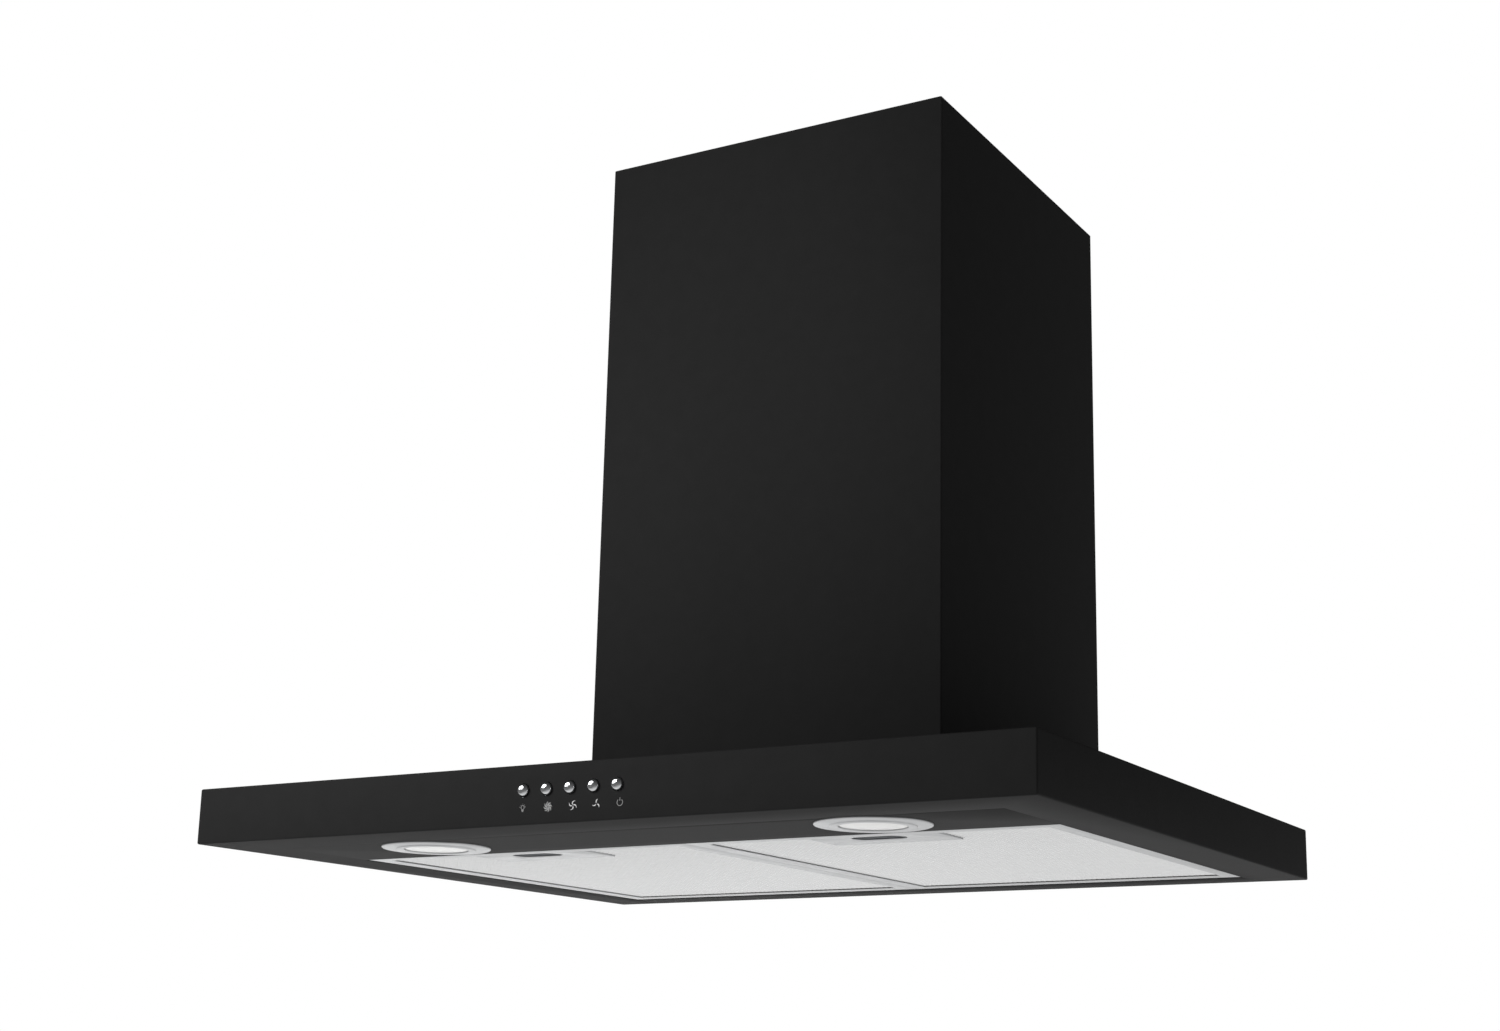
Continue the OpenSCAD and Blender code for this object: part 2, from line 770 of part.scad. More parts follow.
canopy_shell();
lamp_panel();
rear_rail();
lamp_ring(-1);  // lamp_ring_left
lamp_ring(1);  // lamp_ring_right
lamp_lens(-1);  // lamp_lens_left
lamp_lens(1);  // lamp_lens_right
lamp_body(-1);  // lamp_body_left
lamp_body(1);  // lamp_body_right
lamp_clips(-1);  // lamp_clips_left
lamp_clips(1);  // lamp_clips_right
push_button(button_xs[0]);  // button_light
push_button(button_xs[1]);  // button_speed_high
push_button(button_xs[2]);  // button_speed_mid
push_button(button_xs[3]);  // button_speed_low
push_button(button_xs[4]);  // button_power
switch_body();
switch_bracket();
filter_frame(-1);  // filter_frame_left
filter_frame(1);  // filter_frame_right
filter_mesh(-1);  // filter_mesh_left
filter_mesh(1);  // filter_mesh_right
filter_core(-1);  // filter_core_left
filter_core(1);  // filter_core_right
latch_plate(-1);  // latch_plate_left
latch_plate(1);  // latch_plate_right
latch_slider(-1);  // latch_slider_left
latch_slider(1);  // latch_slider_right
blower_box();
volute(-1);  // volute_left
volute(1);  // volute_right
motor();
motor_bracket();
motor_screws();
impeller();
impeller_shaft();
outlet_spigot();
flap(-1, left_knuckles);  // flap_left
flap(1, right_knuckles);  // flap_right
flap_pin();
box_screws();
control_box();
control_lid();
circuit_board();
capacitor();
terminal_block();
cable_gland();
lower_chimney();
chimney_screws();
upper_chimney();
chimney_bracket();
wall_bracket();
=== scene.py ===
import json
import math
import bmesh
import bpy
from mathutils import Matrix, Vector


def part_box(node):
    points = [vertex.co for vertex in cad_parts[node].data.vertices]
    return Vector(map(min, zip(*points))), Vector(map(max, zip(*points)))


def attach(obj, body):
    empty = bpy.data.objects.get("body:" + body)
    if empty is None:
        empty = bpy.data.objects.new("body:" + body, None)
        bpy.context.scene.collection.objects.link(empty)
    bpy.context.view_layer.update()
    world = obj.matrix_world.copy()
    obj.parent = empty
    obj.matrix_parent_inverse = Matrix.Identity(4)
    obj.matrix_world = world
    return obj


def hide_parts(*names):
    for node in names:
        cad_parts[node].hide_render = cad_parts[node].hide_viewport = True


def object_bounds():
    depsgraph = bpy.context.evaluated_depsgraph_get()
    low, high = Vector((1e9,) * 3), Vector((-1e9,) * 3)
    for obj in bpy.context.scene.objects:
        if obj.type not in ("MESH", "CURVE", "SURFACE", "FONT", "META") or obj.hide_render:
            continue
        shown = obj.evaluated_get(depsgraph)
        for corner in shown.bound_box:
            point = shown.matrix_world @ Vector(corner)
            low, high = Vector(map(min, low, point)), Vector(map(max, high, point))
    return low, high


# Looks for a wall-mounted chimney cooker hood: folded black sheet steel, chrome push buttons,
# recessed lamps and two expanded-aluminium grease filters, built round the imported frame.
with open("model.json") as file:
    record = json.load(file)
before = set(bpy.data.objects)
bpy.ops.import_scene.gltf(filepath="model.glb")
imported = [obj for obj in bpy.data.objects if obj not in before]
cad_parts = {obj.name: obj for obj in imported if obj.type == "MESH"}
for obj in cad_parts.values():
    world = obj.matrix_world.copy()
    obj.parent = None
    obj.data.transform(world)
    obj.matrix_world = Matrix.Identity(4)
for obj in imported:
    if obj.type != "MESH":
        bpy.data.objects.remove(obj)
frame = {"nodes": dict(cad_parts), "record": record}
cadLow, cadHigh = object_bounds()
mm = 0.001
tiny = 0.02 * mm
sides = {"left": -1, "right": 1}


def leaveEdit():
    if bpy.context.object and bpy.context.object.mode != "OBJECT":
        bpy.ops.object.mode_set(mode="OBJECT")


def clearSelection():
    leaveEdit()
    bpy.ops.object.select_all(action="DESELECT")


def makeActive(piece):
    clearSelection()
    piece.select_set(True)
    bpy.context.view_layer.objects.active = piece


def bakePlace(piece):
    makeActive(piece)
    bpy.ops.object.transform_apply(location=True, rotation=True, scale=True)
    return piece


def addBlock(name, low, high):
    clearSelection()
    low, high = Vector(low), Vector(high)
    bpy.ops.mesh.primitive_cube_add(size=1, location=(low + high) / 2)
    piece = bpy.context.object
    piece.name = name
    piece.scale = high - low
    return bakePlace(piece)


# a round rod along X, Y or Z that starts at start
def addRod(name, start, radius, length, axis, corners=48):
    clearSelection()
    middle = Vector(start)
    middle["XYZ".index(axis)] += length / 2
    turn = {"X": (0, math.pi / 2, 0), "Y": (math.pi / 2, 0, 0), "Z": (0, 0, 0)}[axis]
    bpy.ops.mesh.primitive_cylinder_add(
        vertices=corners, radius=radius, depth=length, location=middle, rotation=turn)
    piece = bpy.context.object
    piece.name = name
    return bakePlace(piece)


# goes into edit mode and selects the faces, edges or vertices whose centre passes the test
def pick(piece, kind, test):
    if bpy.context.object != piece or piece.mode != "EDIT":
        makeActive(piece)
        bpy.ops.object.mode_set(mode="EDIT")
    bpy.ops.mesh.select_mode(type=kind)
    bpy.ops.mesh.select_all(action="DESELECT")
    shape = bmesh.from_edit_mesh(piece.data)
    items = {"FACE": shape.faces, "EDGE": shape.edges, "VERT": shape.verts}[kind]
    for item in items:
        if kind == "FACE":
            centre = item.calc_center_median()
        elif kind == "EDGE":
            centre = (item.verts[0].co + item.verts[1].co) / 2
        else:
            centre = item.co
        if test(centre, item):
            item.select_set(True)
    bmesh.update_edit_mesh(piece.data)


def deleteFaces(piece, test):
    pick(piece, "FACE", test)
    bpy.ops.mesh.delete(type="ONLY_FACE")


def extrudeBy(shift):
    bpy.ops.mesh.extrude_region_move(TRANSFORM_OT_translate={"value": shift})


def useModifier(piece, kind, **settings):
    makeActive(piece)
    modifier = piece.modifiers.new(kind.title(), kind)
    for key, value in settings.items():
        setattr(modifier, key, value)
    bpy.ops.object.modifier_apply(modifier=modifier.name)


# rounds every edge sharper than the limit, in degrees
def roundEdges(piece, width, steps=2, limit=40, clamp=False):
    useModifier(piece, "BEVEL", width=width, segments=steps, limit_method="ANGLE",
                angle_limit=math.radians(limit), use_clamp_overlap=clamp)


# the wider outside radius of press-brake folds, along the edges that pass the test
def foldEdges(piece, radius, test):
    pick(piece, "EDGE", test)
    bpy.ops.mesh.bevel(offset=radius, segments=4, affect="EDGES", clamp_overlap=False)
    leaveEdit()


def thicken(piece, wall):
    useModifier(piece, "SOLIDIFY", thickness=wall, offset=-1, use_even_offset=True)


def joinPieces(pieces):
    makeActive(pieces[0])
    for piece in pieces:
        piece.select_set(True)
    bpy.ops.object.join()
    return pieces[0]


def cutAway(piece, cutters):
    cutter = joinPieces(cutters)
    useModifier(piece, "BOOLEAN", operation="DIFFERENCE", solver="EXACT", object=cutter)
    bpy.data.objects.remove(cutter)


def mergeClose(piece, distance=tiny):
    makeActive(piece)
    bpy.ops.object.mode_set(mode="EDIT")
    bpy.ops.mesh.select_all(action="SELECT")
    bpy.ops.mesh.remove_doubles(threshold=distance)
    leaveEdit()


# rings of a turned part: a circle that is extruded and resized from one profile point to the next
def turnProfile(name, profile, corners=96, closed=False):
    clearSelection()
    radius, height = profile[0]
    bpy.ops.mesh.primitive_circle_add(vertices=corners, radius=radius, location=(0, 0, height))
    piece = bpy.context.object
    piece.name = name
    bakePlace(piece)
    bpy.ops.object.mode_set(mode="EDIT")
    bpy.ops.mesh.select_all(action="SELECT")
    if not closed:
        bpy.ops.mesh.edge_face_add()
    for nextRadius, nextHeight in profile[1:]:
        bpy.ops.mesh.extrude_region_move(TRANSFORM_OT_translate={"value": (0, 0, 0)})
        share = nextRadius / radius
        bpy.ops.transform.resize(value=(share, share, 1), center_override=(0, 0, height))
        bpy.ops.transform.translate(value=(0, 0, nextHeight - height))
        radius, height = nextRadius, nextHeight
    if closed:
        bpy.ops.mesh.select_mode(type="EDGE")
        pick(piece, "EDGE", lambda centre, edge: edge.is_boundary)
        bpy.ops.mesh.bridge_edge_loops()
    bpy.ops.mesh.select_all(action="SELECT")
    bpy.ops.mesh.normals_make_consistent(inside=False)
    leaveEdit()
    return piece


# closes the open rims of a turned part and points its faces outwards
def closeRims(piece):
    pick(piece, "EDGE", lambda centre, edge: edge.is_boundary)
    bpy.ops.mesh.edge_face_add()
    bpy.ops.mesh.select_all(action="SELECT")
    bpy.ops.mesh.normals_make_consistent(inside=False)
    leaveEdit()


def inMetres(profile):
    return [(radius * mm, height * mm) for radius, height in profile]


def placeAt(piece, location, turn=(0, 0, 0)):
    piece.rotation_euler = turn
    piece.location = location
    return bakePlace(piece)


def copyPiece(piece, name):
    twin = piece.copy()
    twin.data = piece.data.copy()
    twin.name = name
    bpy.context.scene.collection.objects.link(twin)
    return twin


# a copy of a CAD node as one clean mesh, which can then be rounded and finished
def copyNode(node, name, weld=0.002 * mm, flat=0.5):
    piece = frame["nodes"][node].copy()
    piece.data = frame["nodes"][node].data.copy()
    piece.name = name
    piece.parent = None
    for key in list(piece.keys()):
        del piece[key]
    bpy.context.scene.collection.objects.link(piece)
    makeActive(piece)
    bpy.ops.mesh.customdata_custom_splitnormals_clear()
    bpy.ops.object.mode_set(mode="EDIT")
    bpy.ops.mesh.select_all(action="SELECT")
    bpy.ops.mesh.remove_doubles(threshold=weld)
    bpy.ops.mesh.dissolve_limited(angle_limit=math.radians(flat))
    leaveEdit()
    return piece


# last step of every piece: smoothing, the finish of its slot, its body, and hiding the CAD nodes it
# stands for
def settle(piece, body, slot, nodes=(), smooth=35):
    makeActive(piece)
    bpy.ops.object.shade_smooth_by_angle(angle=math.radians(smooth))
    piece.data.materials.clear()
    piece.data.materials.append(finishes[slot])
    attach(piece, body)
    if nodes:
        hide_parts(*nodes)
    return piece


def srgb(text):
    channels = [int(text[i:i + 2], 16) / 255 for i in (1, 3, 5)]
    return tuple(c / 12.92 if c <= 0.04045 else ((c + 0.055) / 1.055) ** 2.4
                 for c in channels) + (1,)


def addNode(tree, kind, settings=None, links=None):
    node = tree.nodes.new(kind)
    for key, value in (settings or {}).items():
        if isinstance(key, int) or key in node.inputs:
            node.inputs[key].default_value = value
        else:
            setattr(node, key, value)
    for key, source in (links or {}).items():
        tree.links.new(source, node.inputs[key])
    return node


# the start of every finish: a cleared tree with object coordinates
def startFinish(name):
    material = bpy.data.materials.new(name)
    material.use_nodes = True
    tree = material.node_tree
    tree.nodes.clear()
    place = addNode(tree, "ShaderNodeTexCoord")
    return material, tree, place.outputs["Object"]


def endFinish(tree, shader):
    addNode(tree, "ShaderNodeOutputMaterial", links={"Surface": shader.outputs[0]})


# cycles per metre of a pattern whose features measure size, in metres
def perSize(size):
    return 1 / size


def blendColours(tree, factor, first, second):
    mix = addNode(tree, "ShaderNodeMix", {"data_type": "RGBA", 6: srgb(first), 7: srgb(second)},
                  {0: factor})
    return mix.outputs[2]


# carries a pattern from its own range to low and high; noise lies mostly between 0.3 and 0.7
def spread(tree, value, low, high, start=0.3, end=0.7):
    scaled = addNode(tree, "ShaderNodeMapRange",
                     {"From Min": start, "From Max": end, "To Min": low, "To Max": high},
                     {"Value": value})
    return scaled.outputs[0]


powderCoat = {"dark": "#222222", "light": "#272727", "grain": 0.9 * mm, "mottle": 14 * mm,
              "roughness": (0.68, 0.76), "sheen": 0.12, "bump": 0.10, "relief": 0.05 * mm}


# polyester powder coat baked on steel: a dry satin black with a fine even grain
def makePowderCoat():
    look = powderCoat
    material, tree, place = startFinish("powderCoatBlack")
    # the real grain is about 0.3 mm, drawn at 0.9 mm so that it shows
    grain = addNode(tree, "ShaderNodeTexNoise", {"Scale": perSize(look["grain"]), "Detail": 2},
                    {"Vector": place})
    mottle = addNode(tree, "ShaderNodeTexNoise", {"Scale": perSize(look["mottle"]), "Detail": 3},
                     {"Vector": place})
    bump = addNode(tree, "ShaderNodeBump", {"Strength": look["bump"], "Distance": look["relief"]},
                   {"Height": grain.outputs[0]})
    shader = addNode(tree, "ShaderNodeBsdfPrincipled",
                     {"IOR": 1.5, "Specular IOR Level": look["sheen"]}, {
        "Base Color": blendColours(tree, mottle.outputs[0], look["dark"], look["light"]),
        "Roughness": spread(tree, grain.outputs[0], *look["roughness"]),
        "Normal": bump.outputs[0]})
    endFinish(tree, shader)
    return material


satinAluminium = {"dark": "#b9babb", "light": "#cfd0d1", "grain": 0.6 * mm, "haze": 25 * mm,
                  "roughness": (0.30, 0.42), "bump": 0.12, "relief": 0.03 * mm}


# etched and anodised aluminium: an even silvery grey that blurs what it reflects
def makeSatinAluminium():
    look = satinAluminium
    material, tree, place = startFinish("anodisedAluminium")
    # the etch is a few hundredths of a millimetre, drawn at 0.6 mm so that it shows
    grain = addNode(tree, "ShaderNodeTexNoise", {"Scale": perSize(look["grain"]), "Detail": 3},
                    {"Vector": place})
    haze = addNode(tree, "ShaderNodeTexNoise", {"Scale": perSize(look["haze"]), "Detail": 2},
                   {"Vector": place})
    bump = addNode(tree, "ShaderNodeBump", {"Strength": look["bump"], "Distance": look["relief"]},
                   {"Height": grain.outputs[0]})
    shader = addNode(tree, "ShaderNodeBsdfPrincipled", {"Metallic": 1.0}, {
        "Base Color": blendColours(tree, haze.outputs[0], look["dark"], look["light"]),
        "Roughness": spread(tree, haze.outputs[0], *look["roughness"]),
        "Normal": bump.outputs[0]})
    endFinish(tree, shader)
    return material


meshAluminium = {"dark": "#e4e5e5", "light": "#f7f7f7", "rub": 6 * mm, "roughness": (0.28, 0.42)}


# slit and stretched aluminium sheet: bright fresh strands with slightly duller patches
def makeMeshAluminium():
    look = meshAluminium
    material, tree, place = startFinish("expandedAluminium")
    rub = addNode(tree, "ShaderNodeTexNoise", {"Scale": perSize(look["rub"]), "Detail": 3},
                  {"Vector": place})
    shader = addNode(tree, "ShaderNodeBsdfPrincipled", {"Metallic": 1.0}, {
        "Base Color": blendColours(tree, rub.outputs[0], look["dark"], look["light"]),
        "Roughness": spread(tree, rub.outputs[0], *look["roughness"])})
    endFinish(tree, shader)
    return material


foilLook = {"dark": "#55575a", "light": "#a6a8aa", "wire": 2.2 * mm, "roughness": (0.35, 0.55),
            "bump": 0.9, "relief": 0.5 * mm}


# layers of knitted aluminium strip: small folds at every angle, with painted shade and glitter: the
# colour goes dark and light in patches the size of the folds
def makeKnittedFoil():
    look = foilLook
    material, tree, place = startFinish("knittedFoil")
    folds = addNode(tree, "ShaderNodeTexVoronoi", {"Scale": perSize(look["wire"])},
                    {"Vector": place})
    # painted shade and glitter: dark and light patches at the size of the folds, on top of the bump
    paintedFoldShade = addNode(tree, "ShaderNodeTexNoise", {"Scale": perSize(look["wire"]), "Detail": 4},
                      {"Vector": place})
    bump = addNode(tree, "ShaderNodeBump", {"Strength": look["bump"], "Distance": look["relief"]},
                   {"Height": folds.outputs["Distance"]})
    shader = addNode(tree, "ShaderNodeBsdfPrincipled", {"Metallic": 1.0}, {
        "Base Color": blendColours(tree, paintedFoldShade.outputs[0], look["dark"], look["light"]),
        "Roughness": spread(tree, paintedFoldShade.outputs[0], *look["roughness"]),
        "Normal": bump.outputs[0]})
    endFinish(tree, shader)
    return material


lensLook = {"body": "#e9e9e6", "light": "#fbfbf9", "prism": 1.1 * mm, "roughness": 0.32,
            "bump": 0.35, "relief": 0.12 * mm}


# opal polycarbonate with a prismatic inner face: milky white, faintly dotted
def makeFrostedLens():
    look = lensLook
    material, tree, place = startFinish("opalPolycarbonate")
    prisms = addNode(tree, "ShaderNodeTexVoronoi",
                     {"Scale": perSize(look["prism"]), "Randomness": 0.15}, {"Vector": place})
    bump = addNode(tree, "ShaderNodeBump", {"Strength": look["bump"], "Distance": look["relief"]},
                   {"Height": prisms.outputs["Distance"]})
    tint = blendColours(tree, prisms.outputs["Distance"], look["light"], look["body"])
    shader = addNode(tree, "ShaderNodeBsdfPrincipled", {
        "IOR": 1.58, "Roughness": look["roughness"], "Coat Weight": 0.3, "Coat Roughness": 0.15},
        {"Base Color": tint, "Normal": bump.outputs[0]})
    endFinish(tree, shader)
    return material


# a finish with one grain: used where the real surface is plain but never quite flat
def makeGrained(name, look):
    material, tree, place = startFinish(name)
    grain = addNode(tree, "ShaderNodeTexNoise", {"Scale": perSize(look["grain"]), "Detail": 3},
                    {"Vector": place})
    wear = addNode(tree, "ShaderNodeTexNoise", {"Scale": perSize(look["wear"]), "Detail": 2},
                   {"Vector": place})
    bump = addNode(tree, "ShaderNodeBump", {"Strength": look["bump"], "Distance": look["relief"]},
                   {"Height": grain.outputs[0]})
    settings = {"Metallic": look["metallic"]}
    if not look["metallic"]:
        settings["IOR"] = look["ior"]
    shader = addNode(tree, "ShaderNodeBsdfPrincipled", settings, {
        "Base Color": blendColours(tree, wear.outputs[0], look["dark"], look["light"]),
        "Roughness": spread(tree, wear.outputs[0], *look["roughness"]),
        "Normal": bump.outputs[0]})
    endFinish(tree, shader)
    return material


grainedFinishes = {
    # bright chromium plate on a turned cap: a mirror with the faintest handling haze
    "chromePlate": {"metallic": 1.0, "dark": "#dcdee0", "light": "#e8e9ea", "grain": 0.8 * mm,
                    "wear": 3 * mm, "roughness": (0.07, 0.12), "bump": 0.02, "relief": 0.01 * mm},
    # moulded ABS with a spark-eroded texture: matt black
    "mouldedBlackAbs": {"metallic": 0.0, "ior": 1.53, "dark": "#161617", "light": "#1f1f21",
                        "grain": 0.7 * mm, "wear": 18 * mm, "roughness": (0.45, 0.6),
                        "bump": 0.25, "relief": 0.06 * mm},
    # moulded polypropylene: grey, slightly waxy
    "mouldedGreyPp": {"metallic": 0.0, "ior": 1.49, "dark": "#808386", "light": "#8f9295",
                      "grain": 0.8 * mm, "wear": 9 * mm, "roughness": (0.38, 0.5),
                      "bump": 0.15, "relief": 0.05 * mm},
    # die-cast aluminium: dull grey with a flow grain
    "dieCastAluminium": {"metallic": 1.0, "dark": "#9c9ea0", "light": "#b3b5b7",
                         "grain": 1.2 * mm, "wear": 7 * mm, "roughness": (0.42, 0.58),
                         "bump": 0.3, "relief": 0.08 * mm},
    # hardened spring strip: darker grey, lightly rolled
    "rolledSpringSteel": {"metallic": 1.0, "dark": "#84868a", "light": "#a0a2a5",
                          "grain": 0.5 * mm, "wear": 4 * mm, "roughness": (0.25, 0.4),
                          "bump": 0.1, "relief": 0.02 * mm},
    # bright zinc plate on steel: cool and slightly bluish
    "brightZincPlate": {"metallic": 1.0, "dark": "#b9bfc6", "light": "#d3d8dc",
                        "grain": 0.6 * mm, "wear": 3 * mm, "roughness": (0.22, 0.36),
                        "bump": 0.08, "relief": 0.02 * mm},
    # green solder mask over glass-fibre laminate: glossy, with the weave just showing
    "solderMask": {"metallic": 0.0, "ior": 1.55, "dark": "#174a30", "light": "#226343",
                   "grain": 0.9 * mm, "wear": 5 * mm, "roughness": (0.2, 0.32),
                   "bump": 0.15, "relief": 0.03 * mm},
    # moulded white polyamide: dry and slightly warm
    "mouldedWhitePa": {"metallic": 0.0, "ior": 1.53, "dark": "#d9d9d3", "light": "#e6e6e1",
                       "grain": 0.7 * mm, "wear": 8 * mm, "roughness": (0.4, 0.52),
                       "bump": 0.12, "relief": 0.04 * mm},
    # white pad-printing ink: flat, with slightly uneven cover
    "printedWhite": {"metallic": 0.0, "ior": 1.5, "dark": "#dcdcdc", "light": "#f2f2f2",
                     "grain": 0.3 * mm, "wear": 1 * mm, "roughness": (0.45, 0.6),
                     "bump": 0.1, "relief": 0.01 * mm},
    # grey pad-printing ink: the same, toned down
    "printedGrey": {"metallic": 0.0, "ior": 1.5, "dark": "#8a8a8a", "light": "#a2a2a2",
                    "grain": 0.3 * mm, "wear": 1 * mm, "roughness": (0.45, 0.6),
                    "bump": 0.1, "relief": 0.01 * mm},
}


zincSheet = {"dark": "#9aa0a5", "light": "#c6cbce", "spangle": 9 * mm, "roughness": (0.3, 0.5),
             "bump": 0.12, "relief": 0.05 * mm}


# hot-dip galvanised sheet: grey with zinc crystals, each of its own brightness
def makeGalvanised():
    look = zincSheet
    material, tree, place = startFinish("galvanisedSheet")
    spangle = addNode(tree, "ShaderNodeTexVoronoi", {"Scale": perSize(look["spangle"])},
                      {"Vector": place})
    crystal = addNode(tree, "ShaderNodeSeparateColor", links={0: spangle.outputs["Color"]})
    bump = addNode(tree, "ShaderNodeBump", {"Strength": look["bump"], "Distance": look["relief"]},
                   {"Height": crystal.outputs[1]})
    shader = addNode(tree, "ShaderNodeBsdfPrincipled", {"Metallic": 1.0}, {
        "Base Color": blendColours(tree, crystal.outputs[0], look["dark"], look["light"]),
        "Roughness": spread(tree, crystal.outputs[2], *look["roughness"], 0, 1),
        "Normal": bump.outputs[0]})
    endFinish(tree, shader)
    return material


def grained(name):
    return makeGrained(name, grainedFinishes[name])


finishes = {
    "black_paint": makePowderCoat(),
    "satin_aluminium": makeSatinAluminium(),
    "filter_mesh": makeMeshAluminium(),
    "knitted_core": makeKnittedFoil(),
    "frosted_lens": makeFrostedLens(),
    "heat_sink": grained("dieCastAluminium"),
    "spring_steel": grained("rolledSpringSteel"),
    "chrome_cap": grained("chromePlate"),
    "black_plastic": grained("mouldedBlackAbs"),
    "grey_plastic": grained("mouldedGreyPp"),
    "zinc_steel": makeGalvanised(),
    "bright_steel": grained("brightZincPlate"),
    "circuit_board": grained("solderMask"),
    "white_plastic": grained("mouldedWhitePa"),
}
whiteInk = grained("printedWhite")
greyInk = grained("printedGrey")

# every CAD node that stays in view takes its slot's finish
for part in frame["record"]["subparts"]:
    cadNode = frame["nodes"][part["node"]]
    isCore = part["node"].startswith("filter_core")
    cadNode.data.materials.clear()
    cadNode.data.materials.append(
        finishes["knitted_core" if isCore else part["material_slot"]])
print("materials made")


cameraLook = {"place": (0.73394, -1.50703, -0.15082), "turn": (103.24446, -0.65882, 28.31078),
              "lens": 50.36312, "shift": (-0.06533, 0.05217)}


def makeCamera():
    data = bpy.data.cameras.new("studioCamera")
    camera = bpy.data.objects.new("studioCamera", data)
    bpy.context.scene.collection.objects.link(camera)
    camera.location = cameraLook["place"]
    camera.rotation_euler = [math.radians(angle) for angle in cameraLook["turn"]]
    data.lens = cameraLook["lens"]
    data.shift_x, data.shift_y = cameraLook["shift"]
    data.clip_start = 0.01
    bpy.context.scene.camera = camera


lampsLook = {
    "keyFront": {"place": (-1.2, -2.4, 1.35), "aim": (0, -0.4, 0.15), "size": 1.0, "watts": 27},
    "nearFront": {"place": (-0.5, -1.0, 0.3), "aim": (0, -0.28, 0.06), "size": 0.3, "watts": 2.0},
    "floorWash": {"place": (-3.4, 3.7, 1.4), "aim": (-3.7, 4.0, -0.6), "size": 2.2, "watts": 90},
}


def makeSoftbox(name, look):
    data = bpy.data.lights.new(name, "AREA")
    data.size = look["size"]
    data.energy = look["watts"]
    box = bpy.data.objects.new(name, data)
    bpy.context.scene.collection.objects.link(box)
    box.location = look["place"]
    aim = Vector(look["aim"]) - box.location
    box.rotation_euler = aim.to_track_quat("-Z", "Y").to_euler()


worldLook = {"below": 0.65, "level": 0.15, "above": 0.06, "backdrop": 1.0,
             "heights": (0.18, 0.52, 0.95)}


# a white studio: pure white behind the object, and soft bounce light that is strongest from below
def makeWorld():
    world = bpy.data.worlds.new("studioWorld")
    bpy.context.scene.world = world
    world.use_nodes = True
    tree = world.node_tree
    tree.nodes.clear()
    place = addNode(tree, "ShaderNodeTexCoord")
    split = addNode(tree, "ShaderNodeSeparateXYZ", links={0: place.outputs["Generated"]})
    height = addNode(tree, "ShaderNodeMapRange", {"From Min": -1, "From Max": 1},
                     {"Value": split.outputs[2]})
    ramp = addNode(tree, "ShaderNodeValToRGB", links={0: height.outputs[0]})
    lowHeight, levelHeight, highHeight = worldLook["heights"]
    stops = ramp.color_ramp.elements
    stops[0].position = lowHeight
    stops[0].color = (worldLook["below"],) * 3 + (1,)
    stops[1].position = highHeight
    stops[1].color = (worldLook["above"],) * 3 + (1,)
    middle = stops.new(levelHeight)
    middle.color = (worldLook["level"],) * 3 + (1,)
    bounce = addNode(tree, "ShaderNodeBackground", links={"Color": ramp.outputs[0]})
    white = addNode(tree, "ShaderNodeBackground",
                    {"Color": (1, 1, 1, 1), "Strength": worldLook["backdrop"]})
    seen = addNode(tree, "ShaderNodeLightPath")
    mix = addNode(tree, "ShaderNodeMixShader", links={
        0: seen.outputs["Is Camera Ray"], 1: bounce.outputs[0], 2: white.outputs[0]})
    addNode(tree, "ShaderNodeOutputWorld", links={"Surface": mix.outputs[0]})


floorLook = {"drop": 0.62, "size": 12, "pale": "#f4f4f4", "shade": "#ececec", "cloud": 0.8,
             "roughness": 0.7, "glow": (0.06, 0.56), "glowFrom": -1.4, "glowTo": -0.2}


# plain pale floor, well below the hood, with a painted glow: it gives off light of its own,
# stronger towards the back under the hood
def makeFloor():
    clearSelection()
    bpy.ops.mesh.primitive_plane_add(
        size=floorLook["size"], location=(0, 0, cadLow.z - floorLook["drop"]))
    floor = bpy.context.object
    floor.name = "studioFloor"
    bakePlace(floor)
    material, tree, place = startFinish("paleFloor")
    cloud = addNode(tree, "ShaderNodeTexNoise", {"Scale": perSize(floorLook["cloud"])},
                    {"Vector": place})
    split = addNode(tree, "ShaderNodeSeparateXYZ", links={0: place})
    # painted glow: emission that rises from the front to under the hood, lighting the underside
    # from below
    glow = spread(tree, split.outputs[1], *floorLook["glow"],
                  floorLook["glowFrom"], floorLook["glowTo"])
    shader = addNode(tree, "ShaderNodeBsdfPrincipled",
                     {"Roughness": floorLook["roughness"], "Emission Color": (1, 1, 1, 1)}, {
        "Base Color": blendColours(tree, cloud.outputs[0], floorLook["pale"], floorLook["shade"]),
        "Emission Strength": glow})
    endFinish(tree, shader)
    floor.data.materials.append(material)


bpy.context.scene.view_settings.view_transform = "Standard"
makeCamera()
for boxName, boxLook in lampsLook.items():
    makeSoftbox(boxName, boxLook)
makeWorld()
makeFloor()
print("camera, light and floor made")


canopyLook = {"sheet": 1 * mm, "fold": 1.2 * mm, "rim": 0.2 * mm, "play": 0.06 * mm,
              "lip": 8 * mm, "startInset": 20 * mm, "buttonHole": 4.25 * mm,
              "airwayHalf": 115 * mm, "airway": (-228 * mm, -22 * mm),
              "wallHole": (250 * mm, 18 * mm, 2.6 * mm), "screwHole": 1.8 * mm}
buttonNames = ("light", "speed_high", "speed_mid", "speed_low", "power")


def nodeCentre(node):
    low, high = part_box(node)
    return (low + high) / 2


# true for points on at least two outer faces of a box, so on one of its twelve edges
def onBoxEdge(centre, low, high):
    near = [min(abs(centre[i] - low[i]), abs(centre[i] - high[i])) < tiny for i in range(3)]
    return sum(near) >= 2


